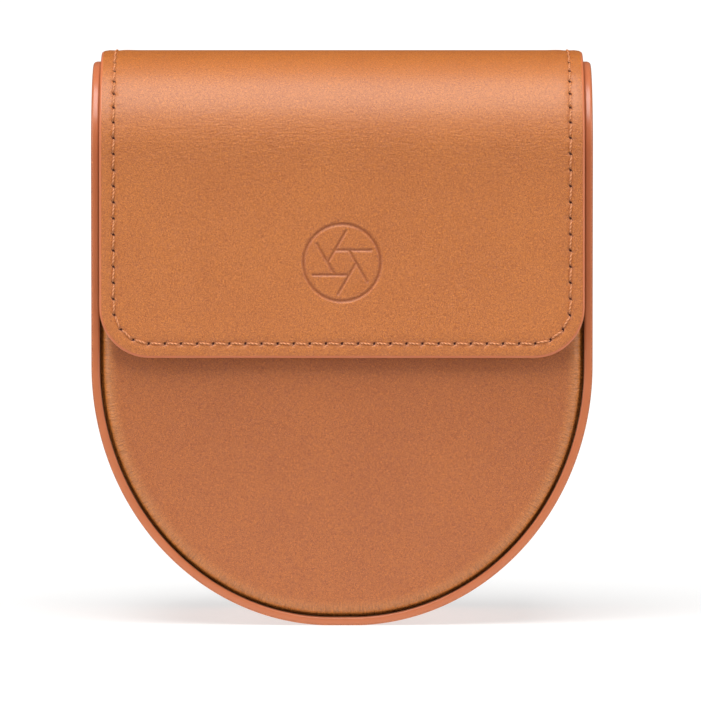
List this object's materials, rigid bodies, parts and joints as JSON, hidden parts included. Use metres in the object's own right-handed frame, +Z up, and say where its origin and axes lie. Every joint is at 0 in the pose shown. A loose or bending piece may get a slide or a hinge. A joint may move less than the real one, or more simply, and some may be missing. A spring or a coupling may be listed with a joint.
{
  "type": "leather ever ready case",
  "caption": "Tan leather case with a rounded bottom, padded front, wrap-over magnetic flap and a belt loop behind.",
  "frame": {"origin": "centre of the flat foot of the rounded bottom, on the surface that the case stands on", "axes": "+Z up, towards the top of the flap; the front and its flap face -Y; the belt loop faces +Y; +X to the right seen from the front"},
  "size_m": [0.109, 0.0588, 0.1253],
  "materials": {
    "tan_leather": "satin",
    "fibre_core": "matte",
    "microsuede_lining": "matte",
    "foam_padding": "matte",
    "sewing_thread": "satin",
    "magnet_steel": "satin"
  },
  "bodies": {
    "case": {"gusset_leather": "tan_leather", "gusset_core": "fibre_core", "gusset_lining": "microsuede_lining", "front_leather": "tan_leather", "front_board": "fibre_core", "front_padding": "foam_padding", "front_lining": "microsuede_lining", "back_leather": "tan_leather", "back_board": "fibre_core", "back_padding": "foam_padding", "back_lining": "microsuede_lining", "magnet_keeper_left": "magnet_steel", "magnet_keeper_right": "magnet_steel", "flap_tail_leather": "tan_leather", "flap_tail_core": "fibre_core", "flap_tail_lining": "microsuede_lining", "flap_tail_stitching": "sewing_thread", "belt_loop_leather": "tan_leather", "belt_loop_lining": "microsuede_lining", "belt_loop_stitching": "sewing_thread", "front_seam_stitching": "sewing_thread", "back_seam_stitching": "sewing_thread", "mouth_stitching": "sewing_thread"},
    "flap_roll": {"flap_roll_leather": "tan_leather", "flap_roll_core": "fibre_core", "flap_roll_lining": "microsuede_lining", "flap_roll_stitching": "sewing_thread"},
    "flap_front": {"flap_front_leather": "tan_leather", "flap_front_core": "fibre_core", "flap_front_lining": "microsuede_lining", "flap_front_stitching": "sewing_thread", "flap_magnet_left": "magnet_steel", "flap_magnet_right": "magnet_steel"}
  },
  "joints": [
    {"name": "flap_swing", "type": "hinge", "parent": "case", "child": "flap_roll", "pos_m": [0, 0.0256, 0.101], "axis": [-1, 0, 0], "range_deg": [0, 115]},
    {"name": "flap_flex", "type": "hinge", "parent": "flap_roll", "child": "flap_front", "pos_m": [0, -0.0256, 0.1032], "axis": [-1, 0, 0], "range_deg": [0, 80]}
  ]
}
